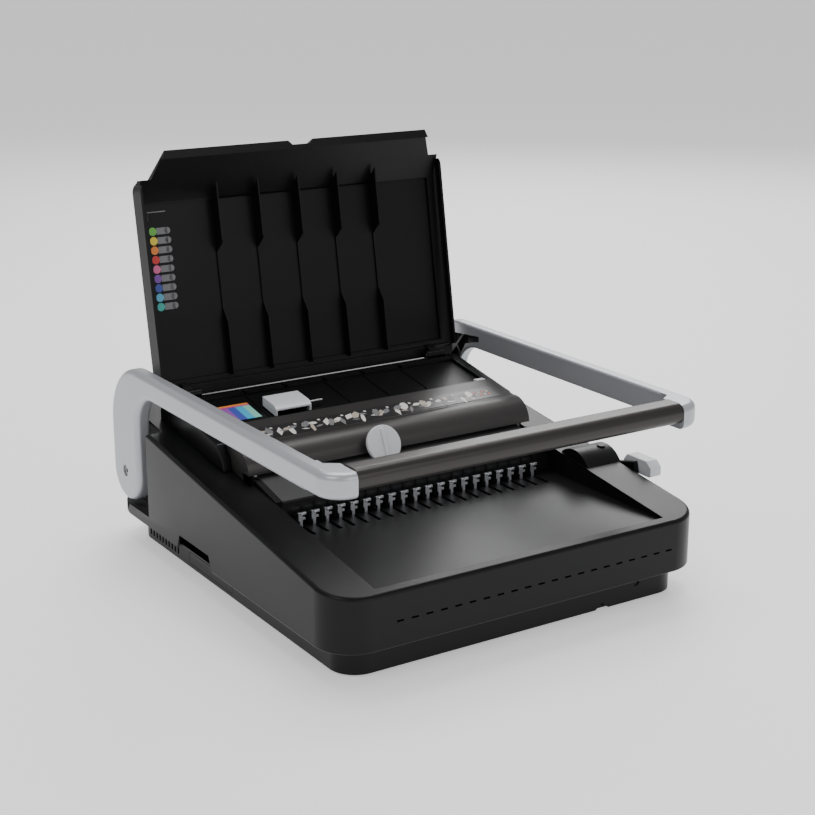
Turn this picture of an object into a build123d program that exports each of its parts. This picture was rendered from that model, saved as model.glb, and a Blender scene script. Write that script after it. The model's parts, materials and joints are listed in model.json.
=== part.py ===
from build123d import *
import math
import os

# Comb binding machine, in millimetres. X runs left to right, Y front to back, Z up.
# The origin is the centre of the underside, on the middle foot.
# Lengthwise places are given as distances behind the base's front face.

# Base tub
BASE_WIDTH = 378.0
BASE_DEPTH = 428.0
BASE_CORNER = 26.0
BASE_TOP = 34.0
FOOT_HEIGHT = 2.0
FOOT_RADIUS = 9.0
WALL = 2.5

# Upper casing
CASE_WIDTH = 412.0
CASE_FRONT = 15.0
CASE_BACK = 22.0
CASE_CORNER = 38.0
SKIRT_BOTTOM = 28.0
DECK_ROUND = 4.0
DECK_FRONT_Z = 80.0
DECK_TILT = 7.5
RECESS_START = 364.0
RECESS_FLOOR = 40.0
RECESS_HALF = 188.5
VENT_COUNT = 21
VENT_PITCH = 15.1
VENT_FIRST = -142.0
VENT_Z = 52.0

# Paper tray and comb hooks
TRAY_HALF = 161.0
TRAY_FLOOR = 78.5
TRAY_FRONT = -4.0
TRAY_BACK = 176.0
COMB_PITCH = 14.2875
HOOK_COUNT = 20
HOOK_AT = 172.0
HOOK_TOP = 91.5
HOOK_TRAVEL = 18.0
SLOT_WIDTH = 3.9

# Bridge plate, punch and housing
PLATE_HALF = 155.0
PLATE_FRONT = 172.0
PLATE_FRONT_Z = 105.5
PLATE_TILT = 12.5
PLATE_THICK = 2.0
PUNCH_COUNT = 21
PUNCH_AT = 246.0
PUNCH_LEVEL = 119.2
PUNCH_STROKE = 5.0
THROAT = 3.2
DIE_THICK = 8.0
GUIDE_THICK = 3.5
BEAM_THICK = 4.0
PIN_WIDTH = 7.6
PIN_DEPTH = 2.8
PIN_CLEARANCE = 0.2
HOUSING_FRONT = 216.0
HOUSING_LIP_Z = 119.5
HOUSING_CREST = 245.0
HOUSING_CREST_Z = 142.0
HOUSING_BACK = 287.0
HOUSING_CORNER = 6.0
HOUSING_WALL = 2.3
TOP_SLOPE = 0.18
LABEL_HALF = 150.0

# Margin knob
KNOB_RADIUS = 19.0
KNOB_THICK = 4.5
KNOB_SHAFT = 3.5
KNOB_TILT = 25.0
KNOB_X = -20.0
KNOB_AT = 206.0
KNOB_Z = 130.0
KNOB_CLEARANCE = 0.8

# Storage tray and block walls
STORAGE_FRONT = 296.0
STORAGE_BACK = 367.0
STORAGE_FRONT_Z = 146.2
STORAGE_SLOPE = 0.165
STORAGE_DEPTH = 3.0
LEDGE_TOP = 158.0
GAUGE_LEFT = -91.0
CHEEK_OUTER = 175.5
CHEEK_INNER = 166.0
CHEEK_FRONT = 250.0
SEAT_GAP = 0.3
BLOCK_BACK = 392.0

# Lid
LID_HALF = 180.0
LID_HEIGHT = 220.0
LID_DEPTH = 20.0
LID_TILT = 9.6
LID_RIB_PITCH = 47.5
LID_RIB_COUNT = 5
LID_GROOVE = 203.0
LID_LIP = 247.5
HINGE_AT = 373.0
HINGE_Z = 160.0
HINGE_PIN = 2.5

# Handle
PIVOT_AT = 419.0
PIVOT_Z = 75.0
ARM_INNER = 190.2
ARM_OUTER = 206.0
ARM_TOP = 190.0
ARM_BOTTOM = 165.0
LOBE_RADIUS = 32.0
ARM_ROUND = 6.5
ARM_INNER_ROUND = 3.0
BAR_HALF = 178.0
BAR_AT = 7.5
BAR_Z = 181.5
BAR_DEPTH = 30.0
BAR_HEIGHT = 20.0
BAR_ROUND = 6.5
SHAFT_RADIUS = 8.0
HANDLE_SWING = 10.0
CRANK_RADIUS = 49.5
CRANK_PIN = 4.0
RUNNING = 0.05

# Inner frame and cam plates
FRAME_INNER = 154.0
FRAME_THICK = 3.0
CAM_INNER = 158.0
CAM_THICK = 2.5
ROD_RADIUS = 3.0
ROD_PLACES = (300.0, 372.0)
ROD_Z = 124.5
CAM_BOTTOM = 118.5
CAM_TOP = 130.0

# Comb lever and its rack
LEVER_AT = 138.0
LEVER_Z = 80.0
HUMP_RADIUS = 30.0
HUMP_OUTER = 205.4
PINION_TEETH = 18
TOOTH_MODULE = 2.0
PINION_FACE = 6.0
PINION_X = 166.0
LEVER_SHAFT = 6.0
LEVER_BUSH = 8.0

# Chip drawer
DRAWER_FRONT = 212.0
DRAWER_BACK = 306.0
DRAWER_FLOOR = 6.0
DRAWER_TOP = 26.5
DRAWER_LENGTH = 325.0
DRAWER_GAP = 0.4

HUMP_INNER = TRAY_HALF + 2.4
HOUSING_HALF = CHEEK_INNER - SEAT_GAP
HALF_BASE = BASE_WIDTH / 2
HALF_CASE = CASE_WIDTH / 2
CASE_DEPTH = BASE_DEPTH + CASE_FRONT + CASE_BACK
PINION_RADIUS = PINION_TEETH * TOOTH_MODULE / 2
CRANK_TRAVEL = CRANK_RADIUS * math.radians(HANDLE_SWING)
DECK_SLOPE = math.tan(math.radians(DECK_TILT))
PLATE_SLOPE = math.tan(math.radians(PLATE_TILT))
SIDES = (-1, 1)


def back(distance):
    """Model Y of a place this far behind the base's front face."""
    return distance - BASE_DEPTH / 2


def deck_z(distance):
    return DECK_FRONT_Z + (distance + CASE_FRONT) * DECK_SLOPE


def plate_z(distance):
    return PLATE_FRONT_Z + (distance - PLATE_FRONT) * PLATE_SLOPE


def housing_z(distance):
    return HOUSING_CREST_Z + (distance - HOUSING_CREST) * TOP_SLOPE


def storage_z(distance):
    return STORAGE_FRONT_Z + (distance - STORAGE_FRONT) * STORAGE_SLOPE


def slab(x0, x1, d0, d1, z0, z1):
    """A box between two X values, two distances and two heights."""
    place = Pos((x0 + x1) / 2, back((d0 + d1) / 2), (z0 + z1) / 2)
    return place * Box(abs(x1 - x0), d1 - d0, z1 - z0)


def side_face(points):
    corners = [(back(distance), z) for distance, z in points]
    return make_face(Polyline(*corners, close=True))


def side_prism(outline, x0, x1):
    """A side outline of (distance, height) corners, or a face, carried from x0 to x1."""
    face = outline if isinstance(outline, (Face, Sketch)) else side_face(outline)
    low = min(x0, x1)
    return extrude(Plane.YZ.offset(low) * face, abs(x1 - x0), dir=(1, 0, 0))


def cross_rod(radius, distance, z, x0, x1):
    place = Pos((x0 + x1) / 2, back(distance), z) * Rot(0, 90, 0)
    return place * Cylinder(radius, abs(x1 - x0))


def upright_rod(radius, x, distance, z0, z1):
    return Pos(x, back(distance), (z0 + z1) / 2) * Cylinder(radius, z1 - z0)


def above_slope(z_front, distance_front, slope):
    """Everything above a plane that rises to the rear."""
    tilt = math.degrees(math.atan(slope))
    place = Pos(0, back(distance_front), z_front) * Rot(tilt, 0, 0)
    return place * Pos(0, 300, 200) * Box(900, 1400, 400)


def save(shape, name):
    solids = shape.solids()
    whole = solids[0] if len(solids) == 1 else Compound(children=list(solids))
    export_step(whole, f"parts/{name}.step")


def save_group(shapes, name):
    solids = [solid for shape in shapes for solid in shape.solids()]
    export_step(Compound(children=solids), f"parts/{name}.step")


# ---------------------------------------------------------------- base

def screw_places():
    return [(side * x, distance) for side in SIDES for x, distance in ((171, 30), (177, 395))]


def base_tub():
    middle = back(BASE_DEPTH / 2)
    outline = RectangleRounded(BASE_WIDTH, BASE_DEPTH, BASE_CORNER)
    hollow = RectangleRounded(BASE_WIDTH - 2 * WALL, BASE_DEPTH - 2 * WALL, BASE_CORNER - WALL)
    tub = extrude(Pos(0, middle, FOOT_HEIGHT) * outline, BASE_TOP - FOOT_HEIGHT)
    tub -= extrude(Pos(0, middle, FOOT_HEIGHT + WALL) * hollow, BASE_TOP)
    tub += base_flange()
    for x, distance in screw_places():
        tub += upright_rod(6, x, distance, FOOT_HEIGHT + 1, BASE_TOP)
        tub -= upright_rod(2.2, x, distance, 0, BASE_TOP + 1)
        tub -= upright_rod(4.4, x, distance, 0, FOOT_HEIGHT + 8)
    for side in SIDES:
        for step in range(10):
            start = 331 + 7.4 * step
            x = side * HALF_BASE
            tub -= slab(x - 4, x + 4, start, start + 3.4, 7, 22)
    tub -= drawer_mouth()
    tub -= front_notch()
    tub -= Pos(134, back(0), 20) * Rot(90, 0, 0) * Cylinder(4, 2.4)
    return tub


def base_flange():
    """The ledge that closes the casing's overhang."""
    gap = 0.2
    middle = back((BASE_DEPTH + CASE_BACK - CASE_FRONT) / 2)
    reach = 2 * (WALL + gap)
    outline = RectangleRounded(CASE_WIDTH - reach, CASE_DEPTH - reach, CASE_CORNER - WALL - gap)
    plate = extrude(Pos(0, middle, BASE_TOP - 2) * outline, 2)
    hole = RectangleRounded(BASE_WIDTH - 2 * WALL, BASE_DEPTH - 2 * WALL, BASE_CORNER - WALL)
    return plate - extrude(Pos(0, back(BASE_DEPTH / 2), 0) * hole, BASE_TOP + 5)


def drawer_mouth():
    gap = DRAWER_GAP
    low = DRAWER_FLOOR - gap
    high = DRAWER_TOP + gap
    return slab(-HALF_BASE - 5, -HALF_BASE + 5, DRAWER_FRONT - gap, DRAWER_BACK + gap, low, high)


def front_notch():
    corners = [(84, FOOT_HEIGHT - 1), (93, FOOT_HEIGHT + 6), (102, FOOT_HEIGHT - 1)]
    face = make_face(Polyline(*corners, close=True))
    return extrude(Plane.XZ.offset(-back(-1)) * face, 4, dir=(0, 1, 0))


def rubber_feet():
    places = [(0, BASE_DEPTH / 2)]
    places += [(side * 150, distance) for side in SIDES for distance in (45, BASE_DEPTH - 45)]
    return [upright_rod(FOOT_RADIUS, x, distance, 0, FOOT_HEIGHT) for x, distance in places]


def casing_screws():
    screws = []
    for x, distance in screw_places():
        shank = upright_rod(1.9, x, distance, FOOT_HEIGHT + 8, BASE_TOP + 14)
        screws.append(shank + upright_rod(3.9, x, distance, FOOT_HEIGHT + 5, FOOT_HEIGHT + 8))
    return screws


# ---------------------------------------------------------------- upper casing

def casing_body(inset, bottom):
    middle = back((BASE_DEPTH + CASE_BACK - CASE_FRONT) / 2)
    width = CASE_WIDTH - 2 * inset
    outline = RectangleRounded(width, CASE_DEPTH - 2 * inset, CASE_CORNER - inset)
    body = extrude(Pos(0, middle, bottom) * outline, 130)
    drop = inset / math.cos(math.radians(DECK_TILT))
    body -= above_slope(deck_z(-200) - drop, -200, DECK_SLOPE)
    for side in SIDES:
        wall = side * (RECESS_HALF - inset)
        front = RECESS_START - inset
        recess = slab(wall, side * 260, front, 500, RECESS_FLOOR - inset, 300)
        body -= recess
    return body


def top_casing():
    casing = casing_body(0, SKIRT_BOTTOM)
    rim = casing.edges().filter_by_position(Axis.Z, SKIRT_BOTTOM - 0.1, SKIRT_BOTTOM + 0.1)
    casing = fillet(rim, 2.0)
    casing = fillet(deck_rim(casing), DECK_ROUND)
    casing -= casing_body(WALL, SKIRT_BOTTOM - 5)
    casing -= slab(-TRAY_HALF, TRAY_HALF, TRAY_FRONT, HOUSING_FRONT, 60, 150)
    casing -= slab(-CHEEK_INNER, CHEEK_INNER, HOUSING_FRONT - 1, BLOCK_BACK - 4, 60, 180)
    casing -= slab(HUMP_INNER + 2.4, HUMP_OUTER - 2.4, LEVER_AT - 19, LEVER_AT + 19, 60, 150)
    for step in range(VENT_COUNT):
        x = VENT_FIRST + VENT_PITCH * step
        casing -= slab(x - 3.6, x + 3.6, -CASE_FRONT - 3, -CASE_FRONT + 4, VENT_Z - 0.9, VENT_Z + 0.9)
    casing -= drawer_scoop()
    casing -= cross_rod(LEVER_BUSH + RUNNING, LEVER_AT, LEVER_Z, HALF_CASE - 8, HALF_CASE + 4)
    casing -= cross_rod(SHAFT_RADIUS + 0.6, PIVOT_AT, PIVOT_Z, -220, 220)
    for x, distance in screw_places():
        casing += casing_boss(x, distance)
    return casing


def deck_rim(casing):
    """Outer edges of the sloping deck, ahead of the arm recesses and across the rear."""
    def on_deck(edge, share):
        point = edge.position_at(share)
        return abs(point.Z - deck_z(point.Y - back(0))) < 0.05
    edges = [e for e in casing.edges() if all(on_deck(e, share) for share in (0, 0.5, 1))]
    return [e for e in edges if abs(e.center().X) > RECESS_HALF + 4 or abs(e.center().X) < 1]


def casing_boss(x, distance):
    post = upright_rod(5, x, distance, BASE_TOP + 0.1, 150)
    post -= above_slope(deck_z(-200) - WALL / 2, -200, DECK_SLOPE)
    return post - upright_rod(2.0, x, distance, BASE_TOP - 1, BASE_TOP + 15)


def drawer_scoop():
    """The finger opening in the left skirt above the chip drawer."""
    low, high = SKIRT_BOTTOM - 6, SKIRT_BOTTOM + 16
    middle = (DRAWER_FRONT + DRAWER_BACK) / 2
    corners = [(middle - 42, low), (middle - 32, high), (middle + 32, high), (middle + 42, low)]
    return side_prism(corners, -HALF_CASE - 5, -HALF_CASE + WALL + 2)


# ---------------------------------------------------------------- tray and comb parts

def hook_places():
    span = COMB_PITCH * (HOOK_COUNT - 1)
    return [COMB_PITCH * step - span / 2 for step in range(HOOK_COUNT)]


def paper_tray():
    outer = TRAY_HALF + 2.2
    tray = slab(-outer, outer, TRAY_FRONT - 2.2, TRAY_BACK, TRAY_FLOOR - WALL, 130)
    tray -= slab(-TRAY_HALF, TRAY_HALF, TRAY_FRONT, TRAY_BACK + 5, TRAY_FLOOR, 150)
    lower = WALL / math.cos(math.radians(DECK_TILT)) + 0.1
    tray -= above_slope(deck_z(-200) - lower, -200, DECK_SLOPE)
    slot_front = HOOK_AT - 4 - HOOK_TRAVEL - 7
    for x in hook_places():
        tray -= slab(x - SLOT_WIDTH / 2, x + SLOT_WIDTH / 2, slot_front, HOOK_AT + 2.5, 60, 90)
    return tray


def comb_wall():
    wall = slab(-TRAY_HALF + 0.3, TRAY_HALF - 0.3, TRAY_BACK + 0.3, TRAY_BACK + 3, 60, 130)
    top = PLATE_THICK / math.cos(math.radians(PLATE_TILT)) + 0.1
    wall -= above_slope(PLATE_FRONT_Z - top, PLATE_FRONT, PLATE_SLOPE)
    wall -= slab(-200, 200, 100, 300, 0, TRAY_FLOOR - WALL)
    for side in SIDES:
        wall -= slab(side * (PLATE_HALF - 1.3), side * 200, 100, 300, deck_z(PLATE_FRONT) - 6.2, 200)
    for x in hook_places():
        wall -= slab(x + 3.2, x + 4.0, TRAY_BACK - 1, TRAY_BACK + 1.2, TRAY_FLOOR + 2, 98)
    return wall


def comb_tines():
    """One fixed tine to the left of each hook, on a strip in front of the comb wall."""
    front = TRAY_BACK - 1.2
    tines = slab(-142, 142, front, TRAY_BACK + 0.2, TRAY_FLOOR + 0.2, TRAY_FLOOR + 3)
    for x in hook_places():
        left = x - 7.0
        tines += slab(left, left + 3.2, front - 6.5, front, TRAY_FLOOR + 1.4, TRAY_FLOOR + 3)
        tines += slab(left, left + 3.2, front - 6.5, front - 5, TRAY_FLOOR + 3, HOOK_TOP - 1)
        tines += slab(left - 0.6, left + 3.2, front - 6.5, front - 5, HOOK_TOP - 4, HOOK_TOP)
    return tines


def hook_carriage():
    """Cross bar under the tray, with a tail that carries the rack."""
    bar_top = TRAY_FLOOR - WALL - 1.0
    rack_line = LEVER_Z - PINION_RADIUS
    link = PINION_X - 0.4
    bar = slab(-150, link, HOOK_AT - 8, HOOK_AT + 8, bar_top - 5, bar_top)
    rack_floor = rack_line - TOOTH_MODULE * 1.2
    bar += slab(PINION_X, PINION_X + PINION_FACE, LEVER_AT - 14, HOOK_AT + 8, rack_floor - 6, rack_floor)
    bar += slab(link - 5, link, HOOK_AT - 8, HOOK_AT + 8, rack_floor - 6, bar_top)
    bar += slab(link - 1, PINION_X + 1, HOOK_AT - 8, HOOK_AT + 8, rack_floor - 6, rack_floor)
    return bar + rack_teeth(rack_line)


def rack_teeth(rack_line):
    pitch = math.pi * TOOTH_MODULE
    half = pitch / 4 - 0.22
    lean = math.tan(math.radians(20))
    low, high = -TOOTH_MODULE * 1.25, TOOTH_MODULE * 0.9
    teeth = []
    for step in range(-2, 5):
        middle = LEVER_AT + pitch * (step + 0.5)
        corners = [
            (middle - half + lean * low, rack_line + low),
            (middle - half + lean * high, rack_line + high),
            (middle + half - lean * high, rack_line + high),
            (middle + half - lean * low, rack_line + low),
        ]
        teeth.append(side_prism(corners, PINION_X, PINION_X + PINION_FACE))
    return teeth


def comb_hooks():
    """Stems that rise through the tray slots, each with two prongs to the right."""
    hooks = []
    foot = TRAY_FLOOR - WALL - 1.0
    front, rear = HOOK_AT - 3.2, HOOK_AT - 0.7
    for x in hook_places():
        hook = slab(x - 1.6, x + 1.6, front, rear, foot, HOOK_TOP)
        hook += slab(x - 3.0, x + 5.6, front, rear, HOOK_TOP - 2.6, HOOK_TOP)
        hook += slab(x - 3.0, x + 1.6, front, rear, HOOK_TOP - 8.5, HOOK_TOP)
        hook += slab(x - 1.6, x + 4.6, front, rear, HOOK_TOP - 7.4, HOOK_TOP - 5.0)
        hook += slab(x - 1.6, x + 1.6, front - 2.4, rear, HOOK_TOP - 1.6, HOOK_TOP)
        hooks.append(hook)
    return hooks


def guide_rails():
    """Two L rails that hold the hook carriage up under the tray."""
    top = TRAY_FLOOR - WALL - 0.1
    low = TRAY_FLOOR - WALL - 1.0 - 5
    rails = []
    for x in (-156, 143.5):
        rail = slab(x, x + 3, 128, HOOK_AT + 10, low - 3, top)
        inner = x + 3 if x < 0 else x - 5
        rail += slab(inner, inner + 5, 128, HOOK_AT + 10, low - 3, low - 0.3)
        if x > 0:
            rail -= slab(x - 1, x + 4, HOOK_AT - 9 - HOOK_TRAVEL, HOOK_AT + 9, low - 0.3, low + 5.4)
        rails.append(rail)
    return rails


# ---------------------------------------------------------------- comb lever

def half_round(radius, x0, x1):
    disc = cross_rod(radius, LEVER_AT, LEVER_Z, x0, x1)
    return disc & above_slope(deck_z(-200) + 0.1, -200, DECK_SLOPE)


def lever_hump():
    return half_round(HUMP_RADIUS, HUMP_INNER, HUMP_OUTER) - cross_rod(
        HUMP_RADIUS - 2.2, LEVER_AT, LEVER_Z, HUMP_INNER + 2.2, HUMP_OUTER - 2.2
    )


def hump_plug():
    tilt = -8
    place = Pos(196, back(LEVER_AT), LEVER_Z) * Rot(-tilt, 0, 0) * Pos(0, 0, HUMP_RADIUS + 0.7)
    return place * Cylinder(4.5, 1.2)


def pinion():
    pitch_angle = 360 / PINION_TEETH
    root = PINION_RADIUS - TOOTH_MODULE * 1.25
    tip = PINION_RADIUS + TOOTH_MODULE * 0.9
    gear = Cylinder(root, PINION_FACE)
    half_root, half_pitch, half_tip = 2.25, 1.42, 0.62
    corners = [
        (root - 1.0, -half_root), (root, -half_root), (PINION_RADIUS, -half_pitch),
        (tip, -half_tip), (tip, half_tip), (PINION_RADIUS, half_pitch),
        (root, half_root), (root - 1.0, half_root),
    ]
    face = make_face(Polyline(*corners, close=True))
    tooth = extrude(Pos(0, 0, -PINION_FACE / 2) * face, PINION_FACE)
    for step in range(PINION_TEETH):
        gear += Rot(0, 0, pitch_angle * step) * tooth
    return gear


def lever_shaft():
    """Shaft with the pinion, one tooth of which points straight down."""
    shaft = cross_rod(LEVER_SHAFT, LEVER_AT, LEVER_Z, PINION_X, HALF_CASE + 1.2)
    place = Pos(PINION_X + PINION_FACE / 2, back(LEVER_AT), LEVER_Z) * Rot(0, 90, 0)
    return shaft + place * pinion()


def comb_lever():
    start = HALF_CASE + 1.2
    hub = cross_rod(13, LEVER_AT, LEVER_Z, start, start + 6)
    arm = side_prism([(LEVER_AT, 68), (LEVER_AT + 6, 90), (95, 101), (92, 90)], start, start + 5)
    return hub + arm


def lever_grip():
    start = HALF_CASE + 6.4
    outline = [(75, 88), (75, 98), (82, 104), (112, 104), (118, 96), (112, 88)]
    grip = side_prism(outline, start, start + 14)
    upright = grip.edges().filter_by(Axis.X)
    return fillet(upright, 3.0)


def lever_bush():
    wall = HALF_CASE - WALL
    bush = cross_rod(LEVER_BUSH, LEVER_AT, LEVER_Z, wall - 1.5, HALF_CASE)
    bush += cross_rod(LEVER_BUSH + 2.5, LEVER_AT, LEVER_Z, wall - 3.5, wall - 0.1)
    return bush - cross_rod(LEVER_SHAFT + RUNNING, LEVER_AT, LEVER_Z, 150, 230)


# ---------------------------------------------------------------- plate and punch

def bridge_plate():
    """Satin plate from the tray up to the throat, with a short front lip."""
    end = PUNCH_AT - 10
    drop = PLATE_THICK / math.cos(math.radians(PLATE_TILT))
    mouth = HOUSING_FRONT - 2
    corners = [
        (PLATE_FRONT, PLATE_FRONT_Z), (mouth, plate_z(mouth)), (end, throat_z(end)),
        (end, throat_z(end) - drop), (mouth, plate_z(mouth) - drop), (PLATE_FRONT, PLATE_FRONT_Z - drop),
    ]
    plate = side_prism(corners, -PLATE_HALF + 1.3, PLATE_HALF - 1.3)
    return plate - knob_frame() * Cylinder(KNOB_RADIUS + KNOB_CLEARANCE, 2 * KNOB_THICK + 2)


def throat_z(distance):
    return PUNCH_LEVEL + (distance - PUNCH_AT) * DECK_SLOPE


def plate_margins():
    """Casing strips beside the bridge plate, between it and the deck."""
    strips = []
    for side in SIDES:
        x0, x1 = side * (PLATE_HALF - 1), side * (TRAY_HALF - SEAT_GAP)
        low = [(PLATE_FRONT, deck_z(PLATE_FRONT) - 6), (HOUSING_FRONT - 1, deck_z(HOUSING_FRONT) - 6)]
        high = [(HOUSING_FRONT - 1, plate_z(HOUSING_FRONT)), (PLATE_FRONT, PLATE_FRONT_Z)]
        strips.append(side_prism(low + high, x0, x1))
    return strips


def punch_frame():
    return Pos(0, back(PUNCH_AT), PUNCH_LEVEL) * Rot(DECK_TILT, 0, 0)


def punch_places():
    span = COMB_PITCH * (PUNCH_COUNT - 1)
    return [COMB_PITCH * step - span / 2 for step in range(PUNCH_COUNT)]


def cut_pin_holes(plate, height, low):
    for x in punch_places():
        hole = Box(PIN_WIDTH + 2 * PIN_CLEARANCE, PIN_DEPTH + 2 * PIN_CLEARANCE, height)
        plate -= Pos(x, 0, low + height / 2) * hole
    return plate


def die_plate():
    half = FRAME_INNER - 0.2
    plate = Pos(0, 2, -DIE_THICK / 2) * Box(2 * half, 22, DIE_THICK)
    return punch_frame() * cut_pin_holes(plate, DIE_THICK + 2, -DIE_THICK - 1)


def punch_guide():
    half = FRAME_INNER - 0.2
    plate = Pos(0, 1, THROAT + GUIDE_THICK / 2) * Box(2 * half, 18, GUIDE_THICK)
    return punch_frame() * cut_pin_holes(plate, GUIDE_THICK + 2, THROAT - 1)


def beam_bottom():
    return THROAT + GUIDE_THICK + PUNCH_STROKE + 0.3


def punch_pins():
    low, high = THROAT + 0.4, beam_bottom()
    pin = Pos(0, 0, (low + high) / 2) * Box(PIN_WIDTH, PIN_DEPTH, high - low)
    return [punch_frame() * Pos(x, 0, 0) * pin for x in punch_places()]


def punch_beam():
    low = beam_bottom()
    half = FRAME_INNER - 0.5
    beam = Pos(0, 1, low + BEAM_THICK / 2) * Box(2 * half, 14, BEAM_THICK)
    axle = Pos(0, 1, low + BEAM_THICK / 2) * Rot(0, 90, 0) * Cylinder(2, 2 * (CAM_INNER + CAM_THICK))
    return punch_frame() * (beam + axle)


def beam_axle():
    """Distance and height of the beam's axle at rest."""
    tilt = math.radians(DECK_TILT)
    rise = beam_bottom() + BEAM_THICK / 2
    distance = PUNCH_AT + math.cos(tilt) - rise * math.sin(tilt)
    return distance, PUNCH_LEVEL + math.sin(tilt) + rise * math.cos(tilt)


def margin_stop():
    """Bar behind the pins that the sheets come up against."""
    bar = Pos(0, 7.0, THROAT / 2) * Box(2 * FRAME_INNER - 1.0, 3, THROAT - 0.6)
    return punch_frame() * bar


# ---------------------------------------------------------------- housing, knob, storage

def housing_face(thickness):
    """Side outline of the punch housing, rounded at the front, moved in by a thickness."""
    front = back(HOUSING_FRONT + thickness)
    crest = back(HOUSING_CREST + thickness * 0.4)
    rear = back(HOUSING_BACK - thickness)
    lip = HOUSING_LIP_Z - (1 if thickness else 0)
    top = HOUSING_CREST_Z - thickness
    rise = top - HOUSING_LIP_Z
    shoulder = (front + (crest - front) * 0.3, HOUSING_LIP_Z + rise * 0.76)
    rear_top = top + (HOUSING_BACK - thickness - HOUSING_CREST) * TOP_SLOPE
    nose = ThreePointArc((front, lip), shoulder, (crest, top))
    lines = Polyline((crest, top), (rear, rear_top), (rear, lip), (front, lip))
    return make_face(nose + lines)


def punch_housing():
    inner = HOUSING_HALF - HOUSING_WALL
    housing = side_prism(housing_face(0), -HOUSING_HALF, HOUSING_HALF)
    uprights = housing.edges().filter_by(Axis.Z)
    housing = chamfer(uprights, HOUSING_CORNER / 2)
    housing -= side_prism(housing_face(HOUSING_WALL), -inner, inner)
    front, rear = HOUSING_FRONT + 14, HOUSING_BACK - HOUSING_CORNER - 1
    foot = [(front, deck_z(front) + 0.2), (front, HOUSING_LIP_Z + 3),
            (rear, HOUSING_LIP_Z + 3), (rear, deck_z(rear) + 0.2)]
    for side in SIDES:
        housing += side_prism(foot, side * (inner + 0.3), side * (HOUSING_HALF - 0.3))
    housing -= slab(1 - inner, inner - 1, HOUSING_BACK - 5, HOUSING_BACK + 1, 100, 134.5)
    housing -= knob_frame() * Pos(0, 0, -20) * Cylinder(KNOB_SHAFT + RUNNING, 28)
    return housing


def knob_frame():
    """Local Z is the knob's axis, forward and up; its origin is the middle of the front face."""
    return Pos(KNOB_X, back(KNOB_AT), KNOB_Z) * Rot(90 - KNOB_TILT, 0, 0)


def margin_knob():
    disc = Pos(0, 0, -KNOB_THICK / 2) * Cylinder(KNOB_RADIUS, KNOB_THICK)
    disc = fillet(disc.edges(), 1.2)
    ridge = Pos(0, 0, 0.5) * Box(4, 2 * KNOB_RADIUS - 8, 5)
    hub = Pos(0, 0, -KNOB_THICK - 1.5) * Cylinder(8, 3)
    shaft = Pos(0, 0, -KNOB_THICK - 9.5) * Cylinder(KNOB_SHAFT, 17)
    return knob_frame() * (disc + ridge + hub + shaft)


def instruction_strip():
    low, high = HOUSING_CREST + 2, HOUSING_CREST + 25
    lift = 0.35
    corners = [
        (low, housing_z(low)), (high, housing_z(high)),
        (high, housing_z(high) + lift), (low, housing_z(low) + lift),
    ]
    return side_prism(corners, -LABEL_HALF, LABEL_HALF)


def rib_places():
    middle = (LID_RIB_COUNT - 1) / 2
    return [LID_RIB_PITCH * (step - middle) for step in range(LID_RIB_COUNT)]


def storage_tray():
    """Sloping tray with low ribs, a front rim and raised ledges along the rear."""
    front, rear = STORAGE_FRONT, STORAGE_BACK
    inner = CHEEK_INNER - SEAT_GAP
    floor = storage_z(front) - STORAGE_DEPTH
    plate = [(front, storage_z(front)), (rear, storage_z(rear)),
             (rear, storage_z(rear) - 6.5), (front, storage_z(front) - 6.5)]
    tray = side_prism(plate, -inner, inner)
    hollow = [(front + 2, floor + 2 * STORAGE_SLOPE), (rear - 9, floor + (rear - 9 - front) * STORAGE_SLOPE),
              (rear - 9, storage_z(rear) + 9), (front + 2, storage_z(front) + 9)]
    tray -= side_prism(hollow, -inner + 2.7, inner - 2.7)
    rail = [(rear - 8, storage_z(rear) - 2), (rear - 8, storage_z(rear)), (rear - 6.5, LEDGE_TOP - 1),
            (rear - 4, LEDGE_TOP), (rear - 0.5, LEDGE_TOP), (rear - 0.5, storage_z(rear) - 2)]
    tray += side_prism(rail, -inner + 4, inner - 4)
    for x in rib_places():
        low = [(place, storage_z(place) - STORAGE_DEPTH - 1) for place in (front + 1, rear - 8)]
        high = [(place, storage_z(place) - STORAGE_DEPTH + 1) for place in (rear - 8, front + 1)]
        tray += side_prism(low + high, x - 0.7, x + 0.7)
        tray -= slab(x - 2.5, x + 2.5, rear - 9, rear + 2, storage_z(rear - 9) - STORAGE_DEPTH + 1, 200)
    return tray


def comb_colour_label():
    low, high = STORAGE_FRONT + 12, STORAGE_FRONT + 46
    lift = 0.35
    corners = [
        (low, storage_z(low) - STORAGE_DEPTH), (high, storage_z(high) - STORAGE_DEPTH),
        (high, storage_z(high) - STORAGE_DEPTH + lift), (low, storage_z(low) - STORAGE_DEPTH + lift),
    ]
    return side_prism(corners, -CHEEK_INNER + 14, -CHEEK_INNER + 64)


def size_gauge():
    """Low clip on the storage tray, open at its right end for the rod."""
    low, high = STORAGE_FRONT + 2.5, STORAGE_FRONT + 32
    x0, x1 = GAUGE_LEFT, GAUGE_LEFT + 41
    floor = storage_z(low) - STORAGE_DEPTH + 1.3
    rear_floor = storage_z(high) - STORAGE_DEPTH + 1.3
    body = side_prism([(low, floor), (high, rear_floor), (high, rear_floor + 10),
                       (low + 5, floor + 11.5), (low, floor + 8)], x0, x1)
    hollow = side_prism([(low - 1, floor - 2), (high - 2.5, floor - 2), (high - 2.5, rear_floor + 7.5),
                         (low + 5, floor + 9), (low - 1, floor + 5.5)], x0 + 2, x1 - 2)
    mouth = slab(x1 - 3, x1 + 1, low + 7, high - 8, floor - 2, floor + 8)
    return body - hollow - mouth


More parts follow.
